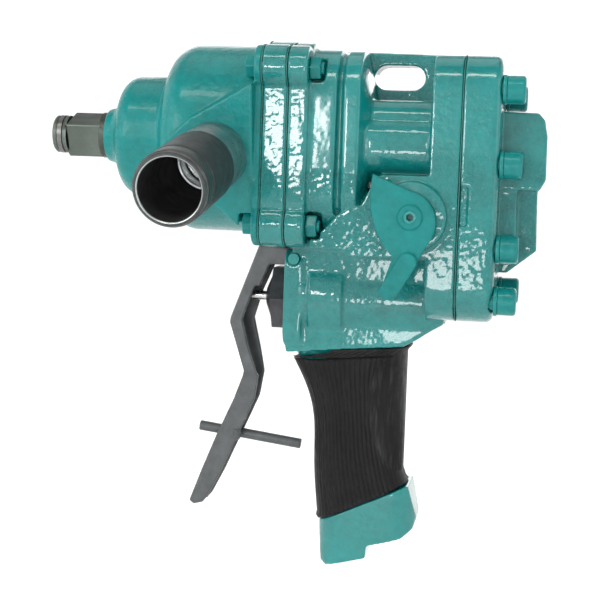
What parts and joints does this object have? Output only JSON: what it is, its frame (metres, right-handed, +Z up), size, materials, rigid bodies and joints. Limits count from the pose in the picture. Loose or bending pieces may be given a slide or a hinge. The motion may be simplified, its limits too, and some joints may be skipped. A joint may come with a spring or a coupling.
{
  "type": "impact wrench",
  "caption": "Hydraulic pistol-grip impact wrench with square drive, hollow side handle, long trigger lever and reversing lever.",
  "frame": {"origin": "centre of the square drive's free end face, on the drive axis", "axes": "+X along the drive axis to the rear of the tool, +Z up, away from the pistol grip; the side handle points towards -Y"},
  "size_m": [0.2734, 0.1995, 0.283],
  "materials": {
    "teal_paint": "glossy enamel over rough sand-cast metal, with orange peel",
    "teal_painted_steel": "the same glossy enamel sprayed over steel fasteners and the reversing lever",
    "impact_steel": "phosphated alloy steel, satin, brownish grey",
    "bright_steel": "ground steel",
    "bare_steel_tube": "turned bare steel, semi-bright",
    "dark_spring_steel": "oil-blacked spring steel",
    "black_oxide_steel": "black oxide",
    "black_lever_steel": "satin black lacquer on sheet steel, worn at the edges",
    "black_rubber": "moulded nitrile seal",
    "grip_rubber": "ribbed moulded rubber, matt",
    "handle_black": "black vinyl dip, matt, scuffed",
    "bronze": "sintered bronze",
    "gasket_fibre": "compressed fibre gasket, painted over at its edge"
  },
  "bodies": {
    "tool": {"anvil_bush": "bronze", "nose_seal": "black_rubber", "hammer_case": "teal_paint", "case_gasket": "gasket_fibre", "motor_front_plate": "teal_paint", "shaft_seal": "black_rubber", "plate_gasket": "gasket_fibre", "motor_housing": "teal_paint", "rear_gasket": "gasket_fibre", "rear_housing": "teal_paint", "rear_bolts": "teal_painted_steel", "rear_lock_washers": "teal_painted_steel", "flange_bolts": "teal_painted_steel", "flange_nuts": "teal_painted_steel", "gear_bushes": "bronze", "grip_sleeve": "grip_rubber", "trigger_pivot_pin": "teal_painted_steel", "spool_gland": "black_oxide_steel", "spool_seal": "black_rubber", "spool_spring": "dark_spring_steel", "detent_ball": "bright_steel", "side_handle_tube": "bare_steel_tube", "side_handle_sleeve": "handle_black", "side_handle_washer": "bright_steel", "side_handle_bolt": "black_oxide_steel"},
    "hammer_cage": {"hammer_frame": "impact_steel", "hammer_pins": "bright_steel", "drive_gear": "bright_steel"},
    "front_hammer": {"front_hammer": "impact_steel"},
    "rear_hammer": {"rear_hammer": "impact_steel"},
    "anvil": {"anvil": "impact_steel", "socket_retainer_ring": "dark_spring_steel", "retainer_o_ring": "black_rubber"},
    "idler": {"idler_gear": "bright_steel"},
    "trigger": {"trigger": "black_lever_steel", "trigger_crossbar": "black_lever_steel"},
    "throttle_spool": {"throttle_spool": "bright_steel"},
    "reversing_lever": {"reversing_lever": "teal_painted_steel", "reversing_spindle": "bright_steel", "reversing_o_ring": "black_rubber", "reversing_lever_screw": "teal_painted_steel"}
  },
  "joints": [
    {"name": "drive_spin", "type": "hinge", "parent": "tool", "child": "hammer_cage", "pos_m": [0.1478, 0, 0], "axis": [1, 0, 0], "continuous": true},
    {"name": "anvil_spin", "type": "hinge", "parent": "tool", "child": "anvil", "pos_m": [0.0578, 0, 0], "axis": [1, 0, 0], "continuous": true},
    {"name": "idler_spin", "type": "hinge", "parent": "tool", "child": "idler", "pos_m": [0.1978, -0.0216, 0], "axis": [1, 0, 0], "continuous": true},
    {"name": "front_hammer_swing", "type": "hinge", "parent": "hammer_cage", "child": "front_hammer", "pos_m": [0.0888, 0.0345, 0], "axis": [1, 0, 0], "range_deg": [-2, 2]},
    {"name": "rear_hammer_swing", "type": "hinge", "parent": "hammer_cage", "child": "rear_hammer", "pos_m": [0.1068, -0.0345, 0], "axis": [1, 0, 0], "range_deg": [-2, 2]},
    {"name": "trigger_pull", "type": "hinge", "parent": "tool", "child": "trigger", "pos_m": [0.1426, 0, -0.0635], "axis": [0, -1, 0], "range_deg": [0, 3.8], "stiffness_Nm_per_rad": 6, "springref_deg": -11.46},
    {"name": "spool_slide", "type": "slide", "parent": "tool", "child": "throttle_spool", "axis": [1, 0, 0], "range_m": [0, 0.0024], "deforming": ["spool_spring"]},
    {"name": "reversing_turn", "type": "hinge", "parent": "tool", "child": "reversing_lever", "pos_m": [0.2068, -0.05, -0.038], "axis": [0, -1, 0], "range_deg": [0, 60]}
  ],
  "couplings": [
    {"joint": "anvil_spin", "follows": "drive_spin", "ratio": 1},
    {"joint": "idler_spin", "follows": "drive_spin", "ratio": -1},
    {"joint": "spool_slide", "follows": "trigger_pull", "m_per_rad": 0.0325}
  ]
}
